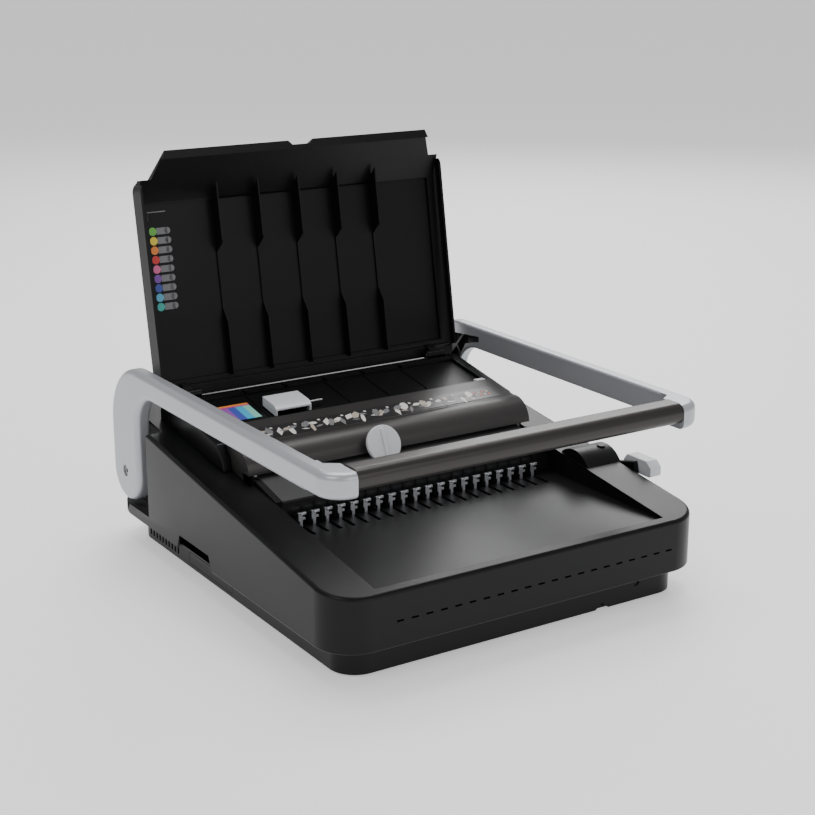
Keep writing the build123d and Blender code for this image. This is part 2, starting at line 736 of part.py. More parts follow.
def gauge_rod():
    """Round rod from the clip's left wall out past its open end."""
    distance = STORAGE_FRONT + 15
    z = storage_z(distance) - STORAGE_DEPTH + 5.5
    return cross_rod(1.2, distance, z, GAUGE_LEFT + 2, GAUGE_LEFT + 60)


def edge_guide():
    """Tab in the gap between the housing and the storage tray."""
    low = HOUSING_BACK + 1.5
    high = STORAGE_FRONT - 1.5
    return slab(148, 160, low, high, storage_z(STORAGE_FRONT) - 8, storage_z(STORAGE_FRONT) + 3.5)


def guide_channel():
    """Channel that closes the gap and carries the edge guide."""
    low, high = HOUSING_BACK + 0.3, STORAGE_FRONT - 0.3
    floor = storage_z(STORAGE_FRONT) - 8.3
    channel = slab(-CHEEK_INNER + 0.3, CHEEK_INNER - 0.3, low, high, floor - 3, floor + 4)
    return channel - slab(-158, 162, low + 0.9, high - 0.9, floor, floor + 9)


def cheek(side):
    nose = CHEEK_FRONT
    rear = BLOCK_BACK - 22
    corners = [
        (nose, deck_z(nose) + 0.1), (nose + 3, deck_z(nose) + 12), (nose + 14, storage_z(nose + 14) - 1),
        (rear, storage_z(rear)), (rear, deck_z(rear) + 0.1),
    ]
    return side_prism(corners, side * (CHEEK_INNER + 0.0), side * CHEEK_OUTER)


def rear_cover():
    """Box behind the storage tray that carries the lid hinge lugs."""
    front, rear, top = STORAGE_BACK + 3.3, BLOCK_BACK, 151.5
    cover = side_prism(
        [(front, deck_z(front) + 0.1), (front, top), (rear - 6, top), (rear, top - 8),
         (rear, deck_z(rear) + 0.1)], -CHEEK_OUTER, CHEEK_OUTER)
    cover -= side_prism(
        [(front + 2.2, deck_z(front) - 2), (front + 2.2, top - 2.2), (rear - 7, top - 2.2),
         (rear - 2.2, top - 9), (rear - 2.2, deck_z(rear) - 2)], -CHEEK_OUTER + 2.2, CHEEK_OUTER - 2.2)
    for x in lug_places():
        lug = slab(x - 3, x + 3, HINGE_AT - 1.5, HINGE_AT + 5, top - 1, HINGE_Z)
        lug += cross_rod(4.6, HINGE_AT, HINGE_Z, x - 3, x + 3)
        cover += lug
    return cover - cross_rod(HINGE_PIN + RUNNING, HINGE_AT, HINGE_Z, -200, 200)


def lug_places():
    return [side * offset for side in SIDES for offset in (142, 158)]


def lid_hinge_pins():
    return [cross_rod(HINGE_PIN, HINGE_AT, HINGE_Z, side * 138.5, side * 161.5) for side in SIDES]


# ---------------------------------------------------------------- lid

def lid_frame():
    """Local Z runs up the open lid from the hinge axis, local Y towards its back."""
    return Pos(0, back(HINGE_AT), HINGE_Z) * Rot(-LID_TILT, 0, 0)


def lid_block(x0, x1, y0, y1, z0, z1):
    return Pos((x0 + x1) / 2, (y0 + y1) / 2, (z0 + z1) / 2) * Box(abs(x1 - x0), y1 - y0, z1 - z0)


def lid_prism(points, x0, x1):
    face = make_face(Polyline(*points, close=True))
    return extrude(Plane.YZ.offset(min(x0, x1)) * face, abs(x1 - x0), dir=(1, 0, 0))


def lid_shell():
    """Shallow box whose far end rises into a sloping roof with a forward lip."""
    low, high, deep = 6.0, LID_HEIGHT, LID_DEPTH
    shell = lid_block(-LID_HALF, LID_HALF, 0, deep, low, high)
    corners = [e for e in shell.edges().filter_by(Axis.Y) if e.center().Z > high - 1]
    shell = fillet(corners, 12)
    inner = LID_HALF - 2.5
    shell -= lid_block(-inner, inner, -1, deep - 5.5, low + 2.5, high + 5)
    ledge = inner - 8.5
    shell -= lid_block(-ledge, ledge, -1, deep - 2.5, low + 8, LID_GROOVE - 8)
    shell -= lid_block(-200, 200, -1, 9, low - 1, low + 2.5)
    shell += lid_block(-LID_HALF, LID_HALF, 9.5, deep, -3, low + 1)
    shell -= lid_block(170, 172, deep - 4, deep + 1, 12, 26)
    shell += lid_roof()
    for x in rib_places():
        shell += lid_rib(x)
    for side in SIDES:
        shell += lid_knuckle(side)
    return lid_frame() * shell


def lid_roof():
    """Sheet that leans forward from the groove to the lip, narrower beyond the box."""
    deep = LID_DEPTH
    corners = [
        (deep, LID_GROOVE), (deep, LID_GROOVE + 5), (-10.5, LID_LIP), (-13, LID_LIP),
        (-13, LID_LIP - 8.5), (-10.5, LID_LIP - 8.5), (-10.5, LID_LIP - 4), (deep - 5.4, LID_GROOVE - 6),
    ]
    roof = lid_prism(corners, -LID_HALF + 2.4, LID_HALF - 2.4)
    reach, slant = 166.0, 154.0
    start = LID_HEIGHT
    for side in SIDES:
        wing = [(side * reach, start), (side * slant, LID_LIP + 1), (side * 200, LID_LIP + 1), (side * 200, start)]
        roof -= above_lid(wing)
    notch = [(-16, LID_LIP + 1), (-10, LID_LIP - 4.5), (10, LID_LIP - 4.5), (16, LID_LIP + 1)]
    return roof - above_lid(notch)


def above_lid(points):
    """An outline of (x, height) corners on the open lid, carried through its thickness."""
    face = make_face(Polyline(*points, close=True))
    return extrude(Plane.XZ.offset(-60) * face, 120, dir=(0, -1, 0))


def lid_rib(x):
    """Rib that is deep at both ends and shallow where the punch housing lies."""
    panel = LID_DEPTH - 2
    corners = [
        (panel, 12), (7, 12), (7, 68), (panel - 2.5, 82), (panel - 2.5, 140),
        (1, 152), (1, 212), (9, LID_GROOVE + 2), (panel, LID_GROOVE - 3),
    ]
    return lid_prism(corners, x - 0.7, x + 0.7)


def lid_knuckle(side):
    x0, x1 = side * 145.3, side * 154.7
    knuckle = Rot(0, 90, 0) * Cylinder(4.6, abs(x1 - x0))
    knuckle = Pos((x0 + x1) / 2, 0, 0) * knuckle
    knuckle += lid_prism([(-3.5, 0), (4.6, 0), (12, 7), (12, 10), (9, 10)], x0, x1)
    return knuckle - Rot(0, 90, 0) * Cylinder(HINGE_PIN + RUNNING, 400)


def lid_labels():
    """Corner bracket and nine size markers on the inside of the lid."""
    front = LID_DEPTH - 2.5 - 0.3
    face = LID_DEPTH - 2.5
    labels = [lid_block(-168.5, -148, front, face, 187, 188.5), lid_block(-168.5, -167, front, face, 178, 187)]
    for step in range(9):
        z = 168 - 9.6 * step
        labels.append(Pos(-164, (front + face) / 2, z) * Rot(90, 0, 0) * Cylinder(4.2, face - front))
        labels.append(lid_block(-158.5, -145.5, front, face, z - 3.6, z + 3.6))
    return [lid_frame() * label for label in labels]


# ---------------------------------------------------------------- handle

def arm_outline():
    """Side outline of an arm: level top, rounded rear corner and a round lower end."""
    rear = PIVOT_AT + LOBE_RADIUS
    front = PIVOT_AT - LOBE_RADIUS
    bend, notch = 66.0, 36.0
    start = (back(20), ARM_TOP)
    top_end = (back(rear - bend), ARM_TOP)
    corner = (back(rear - bend * (1 - math.sqrt(0.5))), ARM_TOP - bend * (1 - math.sqrt(0.5)))
    side_start = (back(rear), ARM_TOP - bend)
    side_end = (back(rear), PIVOT_Z)
    foot = (back(PIVOT_AT), PIVOT_Z - LOBE_RADIUS)
    inner_low = (back(front), PIVOT_Z)
    inner_high = (back(front), ARM_BOTTOM - notch)
    notch_mid = (back(front - notch * (1 - math.sqrt(0.5))), ARM_BOTTOM - notch * (1 - math.sqrt(0.5)))
    inner_top = (back(front - notch), ARM_BOTTOM)
    end = (back(20), ARM_BOTTOM)
    outline = Line(start, top_end) + ThreePointArc(top_end, corner, side_start) + Line(side_start, side_end)
    outline += ThreePointArc(side_end, foot, inner_low) + Line(inner_low, inner_high)
    outline += ThreePointArc(inner_high, notch_mid, inner_top) + Line(inner_top, end) + Line(end, start)
    return make_face(outline)


def arm_front(side):
    """Bend from the arm into the grip bar, seen from above."""
    seam, tip = BAR_HALF + 0.2, BAR_AT - BAR_DEPTH / 2
    rear = BAR_AT + BAR_DEPTH / 2
    reach = ARM_OUTER - seam - 2
    outer_mid = (side * (ARM_OUTER - reach * (1 - math.sqrt(0.5))), back(tip + reach * (1 - math.sqrt(0.5))))
    points = [
        (side * seam, back(tip)), (side * (ARM_OUTER - reach), back(tip)), (side * ARM_OUTER, back(tip + reach)),
        (side * ARM_OUTER, back(40)), (side * ARM_INNER, back(40)), (side * ARM_INNER, back(rear + 8)),
        (side * seam, back(rear)),
    ]
    outline = Line(points[0], points[1]) + ThreePointArc(points[1], outer_mid, points[2])
    outline += Polyline(*points[2:], points[0])
    return extrude(Pos(0, 0, ARM_BOTTOM + 1) * make_face(outline), ARM_TOP - ARM_BOTTOM - 1)


def on_outside(edge, side):
    """Whether an edge of the arm's bend lies on its outer or front side."""
    point = edge.center()
    return point.Y < back(BAR_AT - BAR_DEPTH / 2 + 0.1) or abs(point.X) > BAR_HALF + 18 and point.Y < back(39)


def handle_arm(side):
    arm = side_prism(arm_outline(), side * ARM_INNER, side * ARM_OUTER)
    outer, inner = (-1, 0) if side > 0 else (0, -1)
    arm = fillet(arm.faces().sort_by(Axis.X)[outer].edges(), ARM_ROUND)
    arm = fillet(arm.faces().sort_by(Axis.X)[inner].edges(), ARM_INNER_ROUND)
    front = arm_front(side)
    level = front.edges().filter_by(GeomType.LINE) + front.edges().filter_by(GeomType.CIRCLE)
    rims = [e for e in level if abs(e.bounding_box().size.Z) < 0.1 and on_outside(e, side)]
    arm = arm - slab(side * 150, side * 250, -50, 40, 100, 300) + fillet(rims, BAR_ROUND)
    arm -= arm_pocket(side)
    arm -= cross_rod(SHAFT_RADIUS + RUNNING, PIVOT_AT, PIVOT_Z, side * 180, side * 199.5)
    arm -= cross_rod(3.2, PIVOT_AT, PIVOT_Z, side * 190, side * 203)
    return arm - cross_rod(6.2, PIVOT_AT, PIVOT_Z, side * 201.5, side * 210)


def arm_pocket(side):
    """Hollow on the inner side of the arm's lower end, for the ribbed insert."""
    low, high = PIVOT_AT - LOBE_RADIUS + 6, PIVOT_AT + LOBE_RADIUS - 6
    corners = [
        (low, PIVOT_Z + 20), (high, PIVOT_Z + 20), (high, ARM_TOP - 62), (high - 34, ARM_TOP - 16),
        (high - 100, ARM_TOP - 10), (high - 100, ARM_BOTTOM + 8), (low - 22, ARM_BOTTOM + 2), (low, ARM_BOTTOM - 32),
    ]
    return side_prism(corners, side * (ARM_INNER - 1), side * (ARM_INNER + 8))


def arm_insert(side):
    """Black ribbed insert: a web with crossed ribs."""
    pocket = arm_pocket(side)
    web = pocket & slab(side * (ARM_INNER + 5.6), side * (ARM_INNER + 7.7), 250, 500, 0, 300)
    ribs = web
    for step in range(3):
        middle_z = PIVOT_Z + 38 + 30 * step
        for lean in (-42, 42):
            strut = Pos(side * (ARM_INNER + 3.2), back(PIVOT_AT - 4 - 8 * step), middle_z)
            ribs += strut * Rot(lean, 0, 0) * Box(5.4, 2.2, 150) & pocket
    inner = scaled_pocket(side)
    return ribs & inner


def scaled_pocket(side):
    """The pocket less a small gap all round."""
    gap = 0.3
    low, high = PIVOT_AT - LOBE_RADIUS + 6 + gap, PIVOT_AT + LOBE_RADIUS - 6 - gap
    corners = [
        (low, PIVOT_Z + 20 + gap), (high, PIVOT_Z + 20 + gap), (high, ARM_TOP - 62.2), (high - 34.1, ARM_TOP - 16.4),
        (high - 99.2, ARM_TOP - 10.4), (high - 99.2, ARM_BOTTOM + 8.4), (low - 21.9, ARM_BOTTOM + 2.4), (low, ARM_BOTTOM - 31.8),
    ]
    return side_prism(corners, side * (ARM_INNER + 0.2), side * (ARM_INNER + 7.8))


def grip_bar():
    section = Pos(back(BAR_AT), BAR_Z) * RectangleRounded(BAR_DEPTH, BAR_HEIGHT, 9)
    return side_prism(section, -BAR_HALF, BAR_HALF)


def handle_shaft():
    shaft = cross_rod(SHAFT_RADIUS, PIVOT_AT, PIVOT_Z, -199.3, 199.3)
    for side in SIDES:
        shaft -= cross_rod(3.1, PIVOT_AT, PIVOT_Z, side * 184, side * 200)
    return shaft


def arm_screws():
    screws = []
    for side in SIDES:
        screw = cross_rod(3.0, PIVOT_AT, PIVOT_Z, side * 186, side * 202)
        head = cross_rod(5.6, PIVOT_AT, PIVOT_Z, side * 201.6, side * 204.4)
        socket = Pos(side * 203.8, back(PIVOT_AT), PIVOT_Z) * Rot(0, 90, 0) * RegularPolygon(2.6, 6)
        screws.append(screw + head - extrude(socket, 2, both=True))
    return screws


def shaft_crank(side):
    """Crank on the shaft whose pin drives the cam plate beside it."""
    x0, x1 = side * (CAM_INNER + CAM_THICK + 0.8), side * (CAM_INNER + CAM_THICK + 6.3)
    crank = cross_rod(14, PIVOT_AT, PIVOT_Z, x0, x1)
    crank += cross_rod(7.5, PIVOT_AT, PIVOT_Z + CRANK_RADIUS, x0, x1)
    crank += slab(x0, x1, PIVOT_AT - 7.5, PIVOT_AT + 7.5, PIVOT_Z, PIVOT_Z + CRANK_RADIUS)
    pin_end = side * (CAM_INNER - 0.4)
    crank += cross_rod(CRANK_PIN, PIVOT_AT, PIVOT_Z + CRANK_RADIUS, pin_end, x0)
    return crank - cross_rod(SHAFT_RADIUS + RUNNING, PIVOT_AT, PIVOT_Z, -200, 200)


# ---------------------------------------------------------------- inner frame and cams

def side_frame(side):
    corners = [
        (222, 4.6), (222, 116), (231, 134), (240, 137), (262, 138), (280, 134),
        (366, 134), (369, 129.5), (438, 129.5), (438, 50), (424, 36), (424, 4.6),
    ]
    x0, x1 = side * FRAME_INNER, side * (FRAME_INNER + FRAME_THICK)
    frame = side_prism(corners, x0, x1)
    frame -= slab(side * 140, side * 170, DRAWER_FRONT - 6, DRAWER_BACK + 6, 0, DRAWER_TOP + 4)
    frame -= slab(side * 140, side * 170, 330, 390, 25, 100)
    frame -= cross_rod(11.05, PIVOT_AT, PIVOT_Z, side * 140, side * 170)
    for distance in ROD_PLACES:
        frame -= cross_rod(ROD_RADIUS + RUNNING, distance, ROD_Z, side * 140, side * 170)
    frame -= axle_window(side * 140, side * 170)
    return frame


def axle_window(x0, x1):
    """Open slot that lets the beam's axle travel down through the side frames."""
    low = beam_bottom() + BEAM_THICK / 2 - PUNCH_STROKE - 2.3
    high = beam_bottom() + 30
    window = Pos((x0 + x1) / 2, 1, (low + high) / 2) * Box(abs(x1 - x0), 4.3, high - low)
    return punch_frame() * window


def shaft_bushes():
    bushes = []
    for side in SIDES:
        outer = side * (FRAME_INNER + FRAME_THICK)
        bush = cross_rod(11, PIVOT_AT, PIVOT_Z, side * (FRAME_INNER - 0.1), outer)
        bush += cross_rod(14, PIVOT_AT, PIVOT_Z, side * (FRAME_INNER - 2.1), side * (FRAME_INNER - 0.1))
        bushes.append(bush - cross_rod(SHAFT_RADIUS + RUNNING, PIVOT_AT, PIVOT_Z, -200, 200))
    return bushes


def tie_rods():
    reach = CAM_INNER + CAM_THICK + 2
    rods = []
    for distance in ROD_PLACES:
        rod = cross_rod(ROD_RADIUS, distance, ROD_Z, -reach, reach)
        rods.append(rod)
    return rods


def cam_plate(side):
    """Plate with a sloping slot for the beam's axle, level slots for the tie rods
    and an upright slot for the crank pin."""
    x0, x1 = side * CAM_INNER, side * (CAM_INNER + CAM_THICK)
    end = PIVOT_AT + 9
    distance, z = beam_axle()
    corners = [
        (distance - 4.2, z + 3.4), (distance + 8, z + 3.4), (distance + 22, CAM_TOP), (end, CAM_TOP),
        (end, CAM_BOTTOM), (distance + 17, CAM_BOTTOM), (distance + 5, z - 9), (distance - 4.2, z - 4),
    ]
    plate = side_prism(corners, x0, x1)
    tilt = math.radians(DECK_TILT)
    run = CRANK_TRAVEL + PUNCH_STROKE * math.sin(tilt)
    fall = PUNCH_STROKE * math.cos(tilt)
    slope = math.atan2(fall, run)
    length = math.hypot(run, fall)
    middle = (back(distance + run / 2), z - fall / 2)
    slot = Pos(*middle) * Rot(0, 0, -math.degrees(slope)) * SlotCenterToCenter(length, 4.4)
    plate -= side_prism(slot, side * 150, side * 170)
    for place in ROD_PLACES:
        centre = Pos(back(place + CRANK_TRAVEL / 2), ROD_Z)
        guide = centre * SlotCenterToCenter(CRANK_TRAVEL + 0.2, 2 * ROD_RADIUS + 0.3)
        plate -= side_prism(guide, side * 150, side * 170)
    drop = CRANK_RADIUS * (1 - math.cos(math.radians(HANDLE_SWING)))
    middle = Pos(back(PIVOT_AT), PIVOT_Z + CRANK_RADIUS - drop / 2) * Rot(0, 0, 90)
    crank_slot = middle * SlotCenterToCenter(drop + 0.4, 2 * CRANK_PIN + 0.2)
    return plate - side_prism(crank_slot, side * 150, side * 170)


# ---------------------------------------------------------------- chip drawer

def waste_drawer():
    left = -HALF_BASE
    right = left + DRAWER_LENGTH
    body = slab(left, right, DRAWER_FRONT, DRAWER_BACK, DRAWER_FLOOR, DRAWER_TOP)
    body -= slab(left + 2.2, right - 2.2, DRAWER_FRONT + 2.2, DRAWER_BACK - 2.2, DRAWER_FLOOR + 2, DRAWER_TOP + 5)
    middle = (DRAWER_FRONT + DRAWER_BACK) / 2
    pull = slab(left - 9, left + 1, middle - 26, middle + 26, DRAWER_TOP - 3, DRAWER_TOP)
    pull -= slab(left - 7, left - 0.1, middle - 24, middle + 24, DRAWER_TOP - 4, DRAWER_TOP - 1.4)
    return body + pull


def drawer_runners():
    """Two rails on the tub floor that guide the drawer."""
    right = -HALF_BASE + DRAWER_LENGTH
    rails = []
    for distance in (DRAWER_FRONT - 3.4, DRAWER_BACK + 0.4):
        rails.append(slab(-HALF_BASE + 8, right, distance, distance + 3, FOOT_HEIGHT + WALL, 14))
    rails.append(slab(-HALF_BASE + 12, right, 255, 263, FOOT_HEIGHT + WALL, DRAWER_FLOOR - 0.3))
    return rails


os.makedirs("parts", exist_ok=True)

SINGLE_NODES = {
    "base_tub": base_tub,
    "top_casing": top_casing,
    "paper_tray": paper_tray,
    "comb_wall": comb_wall,
    "comb_tines": comb_tines,
    "hook_carriage": hook_carriage,
    "lever_hump": lever_hump,
    "hump_plug": hump_plug,
    "lever_shaft": lever_shaft,
    "comb_lever": comb_lever,
    "lever_grip": lever_grip,
    "lever_bush": lever_bush,
    "bridge_plate": bridge_plate,
    "die_plate": die_plate,
    "punch_guide": punch_guide,
    "punch_beam": punch_beam,
    "margin_stop": margin_stop,
    "punch_housing": punch_housing,
    "margin_knob": margin_knob,
    "instruction_strip": instruction_strip,
    "storage_tray": storage_tray,
    "comb_colour_label": comb_colour_label,
    "size_gauge": size_gauge,
    "gauge_rod": gauge_rod,
    "edge_guide": edge_guide,
    "guide_channel": guide_channel,
    "rear_cover": rear_cover,
    "lid_shell": lid_shell,
    "grip_bar": grip_bar,
    "handle_shaft": handle_shaft,
    "waste_drawer": waste_drawer,
}
for name, maker in SINGLE_NODES.items():
    save(maker(), name)

GROUP_NODES = {
    "rubber_feet": rubber_feet,
    "casing_screws": casing_screws,
    "guide_rails": guide_rails,
    "comb_hooks": comb_hooks,
    "plate_margins": plate_margins,
    "punch_pins": punch_pins,
    "lid_hinge_pins": lid_hinge_pins,
    "lid_labels": lid_labels,
    "arm_screws": arm_screws,
    "shaft_bushes": shaft_bushes,
    "tie_rods": tie_rods,
    "drawer_runners": drawer_runners,
}
for name, maker in GROUP_NODES.items():
    save_group(maker(), name)

SIDE_NODES = {
    "cheek": cheek,
    "arm": handle_arm,
    "arm_insert": arm_insert,
    "shaft_crank": shaft_crank,
    "side_frame": side_frame,
    "cam_plate": cam_plate,
}
for name, maker in SIDE_NODES.items():
    for side, word in zip(SIDES, ("left", "right")):
        save(maker(side), f"{word}_{name}")
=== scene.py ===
import bpy, json
from math import radians, sin, cos, atan
from mathutils import Vector, Matrix


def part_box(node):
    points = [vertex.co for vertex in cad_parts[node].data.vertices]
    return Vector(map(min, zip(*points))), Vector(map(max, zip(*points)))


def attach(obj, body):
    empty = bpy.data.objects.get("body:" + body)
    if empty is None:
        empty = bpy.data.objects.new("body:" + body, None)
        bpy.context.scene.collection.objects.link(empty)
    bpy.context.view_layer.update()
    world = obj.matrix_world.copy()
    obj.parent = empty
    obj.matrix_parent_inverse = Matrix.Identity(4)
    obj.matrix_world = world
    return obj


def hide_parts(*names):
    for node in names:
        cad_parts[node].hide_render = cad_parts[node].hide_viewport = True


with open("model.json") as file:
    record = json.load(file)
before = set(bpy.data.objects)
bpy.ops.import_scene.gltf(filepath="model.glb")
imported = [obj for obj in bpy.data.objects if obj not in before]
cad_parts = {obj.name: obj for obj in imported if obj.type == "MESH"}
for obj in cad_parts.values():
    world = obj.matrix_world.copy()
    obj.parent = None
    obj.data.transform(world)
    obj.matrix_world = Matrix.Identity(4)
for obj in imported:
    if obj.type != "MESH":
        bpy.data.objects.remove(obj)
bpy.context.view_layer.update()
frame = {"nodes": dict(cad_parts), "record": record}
nodes = frame["nodes"]
bodyOf = {node: body for body, names in frame["record"]["behaviour"]["bodies"].items() for node in names}
slotOf = {part["node"]: part["material_slot"] for part in frame["record"]["subparts"]}
baseHalf = 0.214      # half the base's depth


def back(distance):
    return distance - baseHalf      # metres behind the base's front face


# small tools

def deselect():
    if bpy.context.object and bpy.context.object.mode != "OBJECT":
        bpy.ops.object.mode_set(mode="OBJECT")
    bpy.ops.object.select_all(action="DESELECT")


def pick(obj):
    deselect()
    obj.select_set(True)
    bpy.context.view_layer.objects.active = obj
    return obj


def applyPlace(obj):
    pick(obj)
    bpy.ops.object.transform_apply(location=True, rotation=True, scale=True)
    return obj


def addModifier(obj, kind, **settings):
    pick(obj)
    mod = obj.modifiers.new(kind.lower(), kind)
    for key, value in settings.items():
        setattr(mod, key, value)
    bpy.ops.object.modifier_apply(modifier=mod.name)


def smooth(obj, angle):
    pick(obj)
    bpy.ops.object.shade_smooth_by_angle(angle=radians(angle))


def block(name, low, high):
    deselect()
    bpy.ops.mesh.primitive_cube_add(size=1, location=[(a + b) / 2 for a, b in zip(low, high)])
    obj = bpy.context.object
    obj.name = name
    obj.scale = [b - a for a, b in zip(low, high)]
    return applyPlace(obj)


rodSides = 32


def rod(name, radius, start, end):
    start, end = Vector(start), Vector(end)
    deselect()
    bpy.ops.mesh.primitive_cylinder_add(radius=radius, depth=(end - start).length,
                                        location=(start + end) / 2, vertices=rodSides)
    obj = bpy.context.object
    obj.name = name
    obj.rotation_euler = (end - start).to_track_quat("Z", "Y").to_euler()
    return applyPlace(obj)


def joinUp(name, objs):
    deselect()
    for obj in objs:
        obj.select_set(True)
    bpy.context.view_layer.objects.active = objs[0]
    bpy.ops.object.join()
    bpy.context.object.name = name
    return bpy.context.object


def ownCopy(obj, name):
    new = obj.copy()
    new.data = obj.data.copy()
    new.name = name
    bpy.context.scene.collection.objects.link(new)
    new.parent = None
    new.matrix_world = Matrix.Identity(4)
    return new


def setMaterial(obj, material):
    obj.data.materials.clear()
    obj.data.materials.append(material)
    for face in obj.data.polygons:
        face.material_index = 0


def finishPiece(obj, body, material, replaced=()):
    setMaterial(obj, material)
    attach(obj, body)
    if replaced:
        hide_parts(*replaced)
    return obj


easing = {"merge": 0.00002, "flat": 0.5, "sharp": 35}     # metres, then degrees


def softened(node, material, width, segments):
    # a merged copy of the frame's shape with its sharp edges eased
    obj = ownCopy(nodes[node], node + "_shell")
    pick(obj)
    bpy.ops.object.mode_set(mode="EDIT")
    bpy.ops.mesh.select_all(action="SELECT")
    bpy.ops.mesh.remove_doubles(threshold=easing["merge"])
    bpy.ops.mesh.dissolve_limited(angle_limit=radians(easing["flat"]), delimit={"NORMAL"})
    bpy.ops.object.mode_set(mode="OBJECT")
    if width:
        addModifier(obj, "BEVEL", width=width, segments=segments, limit_method="ANGLE",
                    angle_limit=radians(easing["sharp"]), harden_normals=False)
    smooth(obj, easing["sharp"])
    addModifier(obj, "WEIGHTED_NORMAL", keep_sharp=True)
    return finishPiece(obj, bodyOf[node], material, [node])


# shared shader groups

def newGroup(name, inputs, outputs):
    group = bpy.data.node_groups.new(name, "ShaderNodeTree")
    for label, kind, value in inputs:
        socket = group.interface.new_socket(label, in_out="INPUT", socket_type=kind)
        socket.default_value = value
    for label, kind in outputs:
        group.interface.new_socket(label, in_out="OUTPUT", socket_type=kind)
    return group


def addNode(tree, kind, **settings):
    node = tree.nodes.new(kind)
    for key, value in settings.items():
        setattr(node, key, value)
    return node


def addDrift(group, gin, gout, pattern, shadeInput, glossInput):
    # the pattern's swing about its middle shades the colour and shifts the roughness
    links = group.links
    centred = addNode(group, "ShaderNodeMath", operation="SUBTRACT")
    links.new(pattern, centred.inputs[0])
    centred.inputs[1].default_value = 0.5
    shade = addNode(group, "ShaderNodeMath", operation="MULTIPLY_ADD")
    links.new(centred.outputs[0], shade.inputs[0])
    links.new(gin.outputs[shadeInput], shade.inputs[1])
    shade.inputs[2].default_value = 1.0
    tint = addNode(group, "ShaderNodeVectorMath", operation="SCALE")
    links.new(gin.outputs["Colour"], tint.inputs[0])
    links.new(shade.outputs[0], tint.inputs["Scale"])
    links.new(tint.outputs["Vector"], gout.inputs["Colour"])
    gloss = addNode(group, "ShaderNodeMath", operation="MULTIPLY_ADD")
    links.new(centred.outputs[0], gloss.inputs[0])
    links.new(gin.outputs[glossInput], gloss.inputs[1])
    links.new(gin.outputs["Roughness"], gloss.inputs[2])
    links.new(gloss.outputs[0], gout.inputs["Roughness"])


def addNoise(group, vector, detail):
    noise = addNode(group, "ShaderNodeTexNoise")
    noise.inputs["Detail"].default_value = detail
    group.links.new(vector, noise.inputs["Vector"])
    return noise


skinPattern = {"driftScale": 18, "driftDetail": 3}


def makeMouldedGroup():
    # colour drift, uneven gloss and the fine grain of moulded or painted skins
    group = newGroup("mouldedSkin", [
        ("Colour", "NodeSocketColor", (0.5, 0.5, 0.5, 1)), ("Drift", "NodeSocketFloat", 0.1),
        ("Roughness", "NodeSocketFloat", 0.4), ("Gloss Drift", "NodeSocketFloat", 0.06),
        ("Grain Size", "NodeSocketFloat", 1800.0)],
        [("Colour", "NodeSocketColor"), ("Roughness", "NodeSocketFloat"), ("Height", "NodeSocketFloat")])
    gin, gout = addNode(group, "NodeGroupInput"), addNode(group, "NodeGroupOutput")
    coord = addNode(group, "ShaderNodeTexCoord")
    broad = addNoise(group, coord.outputs["Object"], skinPattern["driftDetail"])
    broad.inputs["Scale"].default_value = skinPattern["driftScale"]
    addDrift(group, gin, gout, broad.outputs["Fac"], "Drift", "Gloss Drift")
    grain = addNode(group, "ShaderNodeTexVoronoi", feature="SMOOTH_F1")
    group.links.new(coord.outputs["Object"], grain.inputs["Vector"])
    group.links.new(gin.outputs["Grain Size"], grain.inputs["Scale"])
    group.links.new(grain.outputs["Distance"], gout.inputs["Height"])
    return group


linePattern = {"stretch": (0.03, 1, 1), "detail": 4}


def makeBrushedGroup():
    # fine lines along X, for plated and rolled metal
    group = newGroup("brushedLines", [
        ("Colour", "NodeSocketColor", (0.6, 0.6, 0.6, 1)), ("Contrast", "NodeSocketFloat", 0.2),
        ("Roughness", "NodeSocketFloat", 0.3), ("Line Scale", "NodeSocketFloat", 900.0)],
        [("Colour", "NodeSocketColor"), ("Roughness", "NodeSocketFloat"), ("Height", "NodeSocketFloat")])
    gin, gout = addNode(group, "NodeGroupInput"), addNode(group, "NodeGroupOutput")
    coord = addNode(group, "ShaderNodeTexCoord")
    stretch = addNode(group, "ShaderNodeMapping")
    stretch.inputs["Scale"].default_value = linePattern["stretch"]
    group.links.new(coord.outputs["Object"], stretch.inputs["Vector"])
    lines = addNoise(group, stretch.outputs["Vector"], linePattern["detail"])
    group.links.new(gin.outputs["Line Scale"], lines.inputs["Scale"])
    addDrift(group, gin, gout, lines.outputs["Fac"], "Contrast", "Contrast")
    group.links.new(lines.outputs["Fac"], gout.inputs["Height"])
    return group


mouldedSkin = makeMouldedGroup()
brushedLines = makeBrushedGroup()


def newMaterial(name):
    material = bpy.data.materials.new(name)
    material.use_nodes = True
    shader = material.node_tree.nodes["Principled BSDF"]
    return material, material.node_tree, shader


bumpDepth = 0.0001     # metres


def addBump(tree, shader, height, strength):
    bump = addNode(tree, "ShaderNodeBump")
    bump.inputs["Strength"].default_value = strength
    bump.inputs["Distance"].default_value = bumpDepth
    tree.links.new(height, bump.inputs["Height"])
    tree.links.new(bump.outputs["Normal"], shader.inputs["Normal"])


